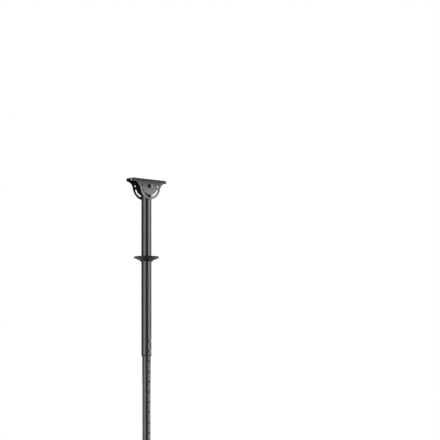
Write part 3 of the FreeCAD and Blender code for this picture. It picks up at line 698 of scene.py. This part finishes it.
@dataclass(frozen=True)
class WeldBead:
    """Fillet weld, in millimetres, drawn as overlapping ripples along a path."""

    width: float = 4.6
    ripple: float = 1.8

    SWELL: ClassVar[tuple[float, float]] = (0.88, 1.0)
    SQUEEZE: ClassVar[float] = 0.6
    SUBDIVISIONS: ClassVar[int] = 2

    def tree(self) -> bpy.types.GeometryNodeTree:
        """Make the tree that lays ripples along edges, or give the one made before.

        Returns:
            The tree, with the path and the bead's sizes as named inputs.
        """
        made = bpy.data.node_groups.get("weld_bead")
        if made:
            return made
        tree = new_tree("weld_bead", {"Path": "Geometry", "Width": "Float", "Ripple": "Float", "Seed": "Int",
                                      "Finish": "Material"}, "Bead")
        given = add_node(tree, "NodeGroupInput").outputs
        line = add_node(tree, "GeometryNodeMeshToCurve", {"Mesh": given["Path"]})
        steps = add_node(tree, "GeometryNodeResampleCurve", {
            "Curve": line.outputs[0], "Length": given["Ripple"]}, mode="LENGTH")
        radius = add_node(tree, "ShaderNodeMath", {0: given["Width"], 1: 0.5}, operation="MULTIPLY")
        drop = add_node(tree, "GeometryNodeMeshIcoSphere", {
            "Radius": radius.outputs[0], "Subdivisions": self.SUBDIVISIONS})
        way = add_node(tree, "GeometryNodeInputTangent")
        aim = add_node(tree, "FunctionNodeAlignRotationToVector", {"Vector": way.outputs[0]}, axis="Z")
        least, most = self.SWELL
        swell = add_node(tree, "FunctionNodeRandomValue", {
            RANDOM_LEAST: least, RANDOM_MOST: most, "Seed": given["Seed"]}).outputs[RANDOM_FLOAT]
        size = add_node(tree, "ShaderNodeCombineXYZ", {"X": swell, "Y": swell, "Z": self.SQUEEZE})
        copies = add_node(tree, "GeometryNodeInstanceOnPoints", {
            "Points": steps.outputs[0], "Instance": drop.outputs[0], "Rotation": aim.outputs[0],
            "Scale": size.outputs[0]})
        finish_tree(tree, copies.outputs[0], given["Finish"])
        return tree

    def laid(self, name: str, runs: list[tuple[Vector, Vector]]) -> bpy.types.Object:
        """Lay a bead along each straight run.

        Args:
            name: Name of the piece.
            runs: Start and end of each run, in metres.

        Returns:
            The beads as one piece.
        """
        ends = [end for run in runs for end in run]
        path = bpy.data.meshes.new(name)
        path.from_pydata(ends, [(start, start + 1) for start in range(0, len(ends), 2)], [])
        return grown(name, path, self.tree(), {"Width": self.width * MM, "Ripple": self.ripple * MM,
                                               "Seed": SEED, "Finish": POWDER_COAT.material()})


PIVOT_BOLT = Bolt(HeadForm.CAP, head=16.0, head_height=10.0, shank=10.0, pitch=1.5, thread=16.0,
                  socket=8.0, socket_depth=5.0, knurls=36)
CAP_BOLT = Bolt(HeadForm.CAP, head=13.0, head_height=8.0, shank=8.0, pitch=1.25, thread=14.0,
                socket=6.0, socket_depth=4.0)
SHORT_CAP_BOLT = Bolt(HeadForm.CAP, head=13.0, head_height=8.0, shank=8.0, pitch=1.25, thread=3.0,
                      socket=6.0, socket_depth=4.0)
PLATE_BOLT = Bolt(HeadForm.COUNTERSUNK, head=12.0, head_height=3.0, shank=6.0, pitch=1.0, thread=7.0,
                  socket=4.0, socket_depth=1.8)
CEILING_SCREW = Bolt(HeadForm.HEX, head=13.0, head_height=6.5, shank=8.0, pitch=1.25, thread=2.0)
WELD = WeldBead()
FRONT = Vector((0, -1, 0))
BACK = Vector((0, 1, 0))
LEFT = Vector((-1, 0, 0))
DOWN = Vector((0, 0, -1))


@dataclass
class SubAssembly(ABC):
    """Pieces of the mount that move together, with the width of their softened edges in millimetres."""

    body: str
    edge: float

    @abstractmethod
    def build(self) -> None:
        """Build the pieces and dress them."""

    def keep(self, piece: bpy.types.Object, finish: Finish, *nodes: str) -> None:
        """Let a finished piece ride on the body, in place of CAD nodes, and report it.

        Args:
            piece: Finished piece at the origin.
            finish: Finish that covers it.
            *nodes: CAD nodes that it stands for.
        """
        if not piece.data.materials:
            piece.data.materials.append(finish.material())
        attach(piece, self.body)
        if nodes:
            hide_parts(*nodes)
        LOG.info("%s rides on %s: %d faces, %s", piece.name, self.body, len(piece.data.polygons), finish.name)

    def soften(self, node: str, name: str, finish: Finish) -> None:
        """Keep a copy of a CAD node with softened edges in its place.

        Args:
            node: CAD node to copy.
            name: Name of the copy.
            finish: Finish that covers it.
        """
        self.keep(softened(node, name, self.edge), finish, node)

    def fasten(self, bolt: Bolt, name: str, outward: Vector, *nodes: str) -> None:
        """Keep detailed bolts in place of those of CAD nodes.

        Args:
            bolt: Kind of the bolts.
            name: Name of the piece that they make.
            outward: Direction out of their heads.
            *nodes: CAD nodes of equal bolts.
        """
        self.keep(bolt.replacing(name, outward, *nodes), BLACK_ZINC, *nodes)

    def dress(self, finish: Finish, *nodes: str) -> None:
        """Cover CAD nodes with a finish and report them.

        Args:
            finish: Finish of the nodes.
            *nodes: CAD nodes that keep their shape.
        """
        for node in nodes:
            frame["nodes"][node].material_slots[0].material = finish.material()
            LOG.info("%s keeps its shape: %s", node, finish.name)


@dataclass
class CeilingBracket(SubAssembly):
    """Folded bracket with its ceiling screws, in millimetres."""

    body: str = "ceiling_bracket"
    edge: float = 0.5
    sheet: float = 3.0

    def screw_seats(self) -> list[Vector]:
        """Place a screw head at the outer end of each ceiling slot.

        Returns:
            Centres of the heads' outer faces, in metres.
        """
        mount = next(m for m in frame["record"]["mounts"] if m["name"] == "ceiling_slots")
        sizes = mount["dims"]
        end = (sizes["spacing_x_mm"] + sizes["slot_length_mm"]) / 2 - sizes["hole_r_mm"]
        side = sizes["spacing_y_mm"] / 2
        drop = self.sheet + CEILING_SCREW.head_height
        return [Vector((x, y, -drop)) * MM for x, y in product((-end, end), (-side, side))]

    def build(self) -> None:
        """Build the bracket and its ceiling screws."""
        self.soften("ceiling_bracket", "folded_bracket", POWDER_COAT)
        length = (self.sheet + CEILING_SCREW.head_height) * MM
        # The screws' zinc is darkened to paint the shade under the bracket's top plate.
        screws = CEILING_SCREW.placed("ceiling_screws", self.screw_seats(), DOWN, length, BRIGHT_ZINC)
        self.keep(screws, BRIGHT_ZINC)


@dataclass
class OuterPole(SubAssembly):
    """Outer tube with the bolts that clamp its tilt and its height, in millimetres."""

    body: str = "pole"
    edge: float = 0.4

    def build(self) -> None:
        """Build the tube and its bolts, and dress what is seated on it."""
        self.soften("outer_tube", "outer_pole_tube", POWDER_COAT)
        self.fasten(PIVOT_BOLT, "pivot_socket_bolt", FRONT, "pivot_bolt")
        self.fasten(CAP_BOLT, "tilt_lock_bolt", FRONT, "lock_bolt")
        self.fasten(SHORT_CAP_BOLT, "height_bolts", FRONT, "height_bolt_1", "height_bolt_2")
        self.dress(BLACK_ZINC, "pivot_nut", "lock_nut")
        # The washers' near-black colour also paints the shade beside the bolt heads.
        self.dress(BLACK_OXIDE_AND_SHADE, "pivot_washers", "lock_washers", "spring_washers")
        self.dress(BLACK_NYLON, "side_washers")
        self.dress(MOULDED_ABS, "guide_bush")


@dataclass
class CeilingCover(SubAssembly):
    """Conical cover that slides on the pole, in millimetres."""

    body: str = "cover"
    edge: float = 0.5

    def build(self) -> None:
        """Build the cover and dress its grip."""
        self.soften("ceiling_cover", "cover_shell", MOULDED_ABS)
        self.dress(GRIP_RUBBER, "cover_grip")


@dataclass
class InnerPole(SubAssembly):
    """Inner tube with the screen head at its lower end, in millimetres."""

    body: str = "inner_pole"
    edge: float = 0.4
    web_half: float = 12.0
    web_height: float = 70.0
    bead_front: float = 21.9

    def weld_runs(self) -> list[tuple[Vector, Vector]]:
        """Find the lines where the yoke's web meets the sleeve on both sides.

        Returns:
            Lower and upper end of each line, in metres.
        """
        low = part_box("head_yoke")[0].z + WELD.width * MM
        high = low + (self.web_height - 2 * WELD.width) * MM
        front = -self.bead_front * MM
        return [(Vector((x * MM, front, low)), Vector((x * MM, front, high)))
                for x in (-self.web_half, self.web_half)]

    def build(self) -> None:
        """Build the tube, the screen head and its bolts, and dress what is seated on them."""
        for node, name in (("inner_tube", "inner_pole_tube"), ("head_yoke", "welded_yoke"),
                           ("tilt_bracket", "folded_tilt_bracket"), ("screen_plate", "screen_plate_sheet")):
            self.soften(node, name, POWDER_COAT)
        self.keep(WELD.laid("yoke_welds", self.weld_runs()), POWDER_COAT)
        self.fasten(SHORT_CAP_BOLT, "sleeve_cap_bolts", BACK, "sleeve_bolts")
        self.fasten(CAP_BOLT, "tilt_cap_bolts", LEFT, "tilt_bolts")
        self.fasten(PLATE_BOLT, "plate_flat_bolts", FRONT, "plate_bolts")
        self.dress(BLACK_ZINC, "tilt_nuts", "plate_nuts")
        self.dress(BLACK_OXIDE_AND_SHADE, "tilt_washers", "tilt_spring_washers")
        self.dress(MOULDED_ABS, "slide_ring", "end_cap")


def matt_paint(name: str, colour: str, roughness: float = 1.0) -> bpy.types.Material:
    """Make a plain matt material for a piece of the studio.

    Args:
        name: Name of the material.
        colour: Its hex colour.
        roughness: Its roughness.

    Returns:
        The material.
    """
    paint = bpy.data.materials.new(name)
    paint.use_nodes = True
    shader = paint.node_tree.nodes["Principled BSDF"]
    shader.inputs["Base Color"].default_value = hex_to_linear(colour)
    shader.inputs["Roughness"].default_value = roughness
    shader.inputs["Specular IOR Level"].default_value = 0.0
    return paint


def staged(name: str, points: list[tuple], faces: list[tuple], colour: str) -> bpy.types.Object:
    """Make a plain studio card that the camera doesn't see.

    Args:
        name: Name of the card.
        points: Corners of its panels.
        faces: Panels by the numbers of their corners.
        colour: Hex colour of its dull paper.

    Returns:
        The card.
    """
    mesh = bpy.data.meshes.new(name)
    mesh.from_pydata(points, [], faces)
    mesh.materials.append(matt_paint(f"{name}_paper", colour))
    card = linked(name, mesh)
    card.visible_camera = False
    return card


def mirrored_strip(name: str, outline: list[tuple[float, float]], low: float, high: float,
                   colour: str) -> None:
    """Stand upright panels along an outline, where only reflections see them.

    Args:
        name: Name of the strip.
        outline: Corners of the strip as seen from above.
        low: Height of its lower edge.
        high: Height of its upper edge.
        colour: Hex colour of its dull paper.
    """
    points = [(x, y, height) for x, y in outline for height in (low, high)]
    faces = [(2 * i, 2 * i + 1, 2 * i + 3, 2 * i + 2) for i in range(len(outline) - 1)]
    strip = staged(name, points, faces, colour)
    strip.visible_diffuse = False
    strip.visible_shadow = False


@dataclass(frozen=True)
class Softbox:
    """Rectangular light, placed by the angles that it spans as seen from the pole, in metres and degrees."""

    name: str
    first: float
    last: float
    low: float
    high: float
    radiance: float
    distance: float = 3.0

    def hang(self, facing: float) -> None:
        """Hang the light round the pole.

        Args:
            facing: Azimuth of the camera, from which the angles count to the right.
        """
        width = 2 * self.distance * math.tan(math.radians(self.last - self.first) / 2)
        height = self.high - self.low
        light = bpy.data.lights.new(self.name, "AREA")
        light.shape = "RECTANGLE"
        light.size = width
        light.size_y = height
        light.energy = self.radiance * math.pi * width * height
        lamp = linked(self.name, light)
        angle = math.radians(facing + (self.first + self.last) / 2)
        outward = Vector((math.sin(angle), -math.cos(angle), 0))
        lamp.location = outward * self.distance + Vector((0, 0, (self.low + self.high) / 2))
        lamp.rotation_euler = (-outward).to_track_quat("-Z", "Y").to_euler()
        lamp.visible_camera = False


@dataclass(frozen=True)
class StudioCard:
    """Upright card that only reflections see, placed by the angles that it spans, in metres and degrees."""

    name: str
    first: float
    last: float
    low: float
    high: float
    distance: float = 3.2
    colour: str = CARD_GREY
    panels: int = 16

    def hang(self, facing: float) -> None:
        """Hang the card round the pole.

        Args:
            facing: Azimuth of the camera, from which the angles count to the right.
        """
        step = (self.last - self.first) / self.panels
        angles = [math.radians(facing + self.first + step * panel) for panel in range(self.panels + 1)]
        outline = [(math.sin(angle) * self.distance, -math.cos(angle) * self.distance) for angle in angles]
        mirrored_strip(self.name, outline, self.low, self.high, self.colour)


@dataclass(frozen=True)
class TopFlag:
    """Flag that stands round the bracket's top face and keeps the lights' glare off it, in metres."""

    name: str = "top_flag"
    margin: float = 0.001
    height: float = 0.08
    colour: str = CARD_GREY

    def hang(self) -> None:
        """Stand the flag on the outline of the top face."""
        low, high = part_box("ceiling_bracket")
        left, front = low.x - self.margin, low.y - self.margin
        right, back = high.x + self.margin, high.y + self.margin
        outline = [(left, front), (right, front), (right, back), (left, back), (left, front)]
        mirrored_strip(self.name, outline, self.margin, self.height, self.colour)


@dataclass(frozen=True)
class CeilingCard:
    """Pale card level with the bracket's top and open over it, which shades the mount, in metres."""

    name: str = "ceiling_card"
    reach: float = 0.24
    opening: tuple[float, float] = (0.11, 0.034)
    height: float = 0.001
    colour: str = "#d6d6d6"

    def hang(self) -> None:
        """Hang the card as a frame of four trapezia round its opening."""
        turns = ((-1, -1), (1, -1), (1, 1), (-1, 1))
        outer = [(x * self.reach, y * self.reach, self.height) for x, y in turns]
        inner = [(x * self.opening[0], y * self.opening[1], self.height) for x, y in turns]
        count = len(turns)
        faces = [(i, (i + 1) % count, count + (i + 1) % count, count + i) for i in range(count)]
        staged(self.name, outer + inner, faces, self.colour)


@dataclass
class PhotoCamera:
    """Camera of the photograph, in metres, degrees and pixels of its frame."""

    azimuth: float = -40.0
    distance: float = 7.31
    height: float = -1.0
    lens_mm: float = 120.0
    sensor_mm: float = 36.0
    frame_px: float = 440.0
    pole_column_px: float = 146.4
    horizon_row_px: float = 380.0

    def build(self) -> None:
        """Aim the camera so that the pole stands upright in its column and the horizon lies in its row."""
        data = bpy.data.cameras.new("photo_camera")
        data.lens = self.lens_mm
        data.sensor_width = self.sensor_mm
        camera = linked("photo_camera", data)
        bpy.context.scene.camera = camera
        angle = math.radians(self.azimuth)
        forward = Vector((-math.sin(angle), math.cos(angle), 0))
        up = Vector((0, 0, 1))
        focal_px = self.lens_mm / self.sensor_mm * self.frame_px
        swing = math.atan((self.frame_px / 2 - self.pole_column_px) / focal_px)
        rise = math.atan((self.horizon_row_px - self.frame_px / 2) / focal_px * math.cos(swing))
        tilted = (forward * math.cos(rise) + up * math.sin(rise)).to_track_quat("-Z", "Y")
        camera.location = -forward * self.distance + up * self.height
        camera.rotation_euler = (tilted @ Quaternion((0, 1, 0), -swing)).to_euler()


@dataclass
class Studio:
    """Plain white studio: world, floor, softboxes and cards, in metres and degrees."""

    ambient: float = 0.75
    floor_height: float = -2.5
    floor_radius: float = 2.9
    floor_fade: float = 0.6
    floor_sides: int = 96
    floor_colour: str = "#f1f1f0"
    floor_roughness: float = 0.9
    softboxes: tuple[Softbox, ...] = (
        Softbox("left_softbox", first=-70.0, last=-25.0, low=-2.2, high=1.2, radiance=4.4),
        Softbox("upper_right_softbox", first=46.0, last=102.0, low=0.1, high=1.2, radiance=5.8),
        Softbox("right_softbox", first=46.0, last=102.0, low=-2.2, high=0.1, radiance=4.2),
        Softbox("low_back_right_softbox", first=112.0, last=150.0, low=-2.4, high=-1.0, radiance=3.2),
        Softbox("low_back_left_softbox", first=210.0, last=248.0, low=-2.4, high=-1.0, radiance=3.2),
    )
    cards: tuple[StudioCard, ...] = (
        StudioCard("front_card", first=-14.0, last=31.0, low=-3.0, high=2.0),
        StudioCard("back_card", first=118.0, last=284.0, low=-1.0, high=2.0, colour="#2c2c2c"),
    )
    ceiling_card: CeilingCard = CeilingCard()
    top_flag: TopFlag = TopFlag()

    def build(self, facing: float) -> None:
        """Build the world, the floor, the lights and the cards.

        Args:
            facing: Azimuth of the camera.
        """
        self.build_world()
        self.build_floor()
        for hung in self.softboxes + self.cards:
            hung.hang(facing)
        self.ceiling_card.hang()
        self.top_flag.hang()
        bpy.context.scene.view_settings.view_transform = "Standard"

    def build_world(self) -> None:
        """White surroundings for the eye and for reflections, dimmer as a light."""
        world = bpy.data.worlds.new("white_studio")
        world.use_nodes = True
        bpy.context.scene.world = world
        tree = world.node_tree
        path = add_node(tree, "ShaderNodeLightPath").outputs
        mirrored = add_node(tree, "ShaderNodeMath", {0: path["Is Camera Ray"], 1: path["Is Glossy Ray"]},
                            operation="MAXIMUM")
        seen = add_node(tree, "ShaderNodeMath", {0: mirrored.outputs[0], 1: path["Is Transmission Ray"]},
                        operation="MAXIMUM")
        strength = add_node(tree, "ShaderNodeMapRange", {
            "Value": seen.outputs[0], "To Min": self.ambient, "To Max": 1.0})
        sky = tree.nodes["Background"]
        sky.inputs["Color"].default_value = hex_to_linear("#ffffff")
        tree.links.new(strength.outputs["Result"], sky.inputs["Strength"])

    def build_floor(self) -> None:
        """Pale round floor that keeps the shadow, fades into the white and is clear from below."""
        shape = bmesh.new()
        bmesh.ops.create_circle(shape, cap_ends=True, radius=self.floor_radius, segments=self.floor_sides)
        bmesh.ops.translate(shape, verts=shape.verts, vec=(0, 0, self.floor_height))
        mesh = bpy.data.meshes.new("studio_floor")
        shape.to_mesh(mesh)
        shape.free()
        paint = matt_paint("pale_floor_paint", self.floor_colour, self.floor_roughness)
        mesh.materials.append(paint)
        tree = paint.node_tree
        place = add_node(tree, "ShaderNodeTexCoord")
        flat = add_node(tree, "ShaderNodeVectorMath", {0: place.outputs["Object"], 1: (1, 1, 0)},
                        operation="MULTIPLY")
        reach = add_node(tree, "ShaderNodeVectorMath", {0: flat.outputs[0]}, operation="LENGTH")
        fade = add_node(tree, "ShaderNodeMapRange", {
            "Value": reach.outputs["Value"], "From Min": self.floor_fade,
            "From Max": self.floor_radius}, interpolation_type="SMOOTHSTEP")
        side = add_node(tree, "ShaderNodeNewGeometry")
        clear = add_node(tree, "ShaderNodeMath", {0: fade.outputs["Result"], 1: side.outputs["Backfacing"]},
                         operation="MAXIMUM")
        air = add_node(tree, "ShaderNodeBsdfTransparent")
        mixed = add_node(tree, "ShaderNodeMixShader", {
            0: clear.outputs[0], 1: tree.nodes["Principled BSDF"].outputs[0], 2: air.outputs[0]})
        tree.links.new(mixed.outputs[0], tree.nodes["Material Output"].inputs["Surface"])
        linked("studio_floor", mesh)


def main() -> None:
    """Build the mount's pieces, the studio and the camera, and report each piece."""
    logging.basicConfig(level=logging.INFO, format="%(name)s: %(message)s")
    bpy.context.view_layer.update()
    for assembly in (CeilingBracket(), OuterPole(), CeilingCover(), InnerPole()):
        assembly.build()
    camera = PhotoCamera()
    camera.build()
    Studio().build(camera.azimuth)


if __name__ == "__main__":
    main()
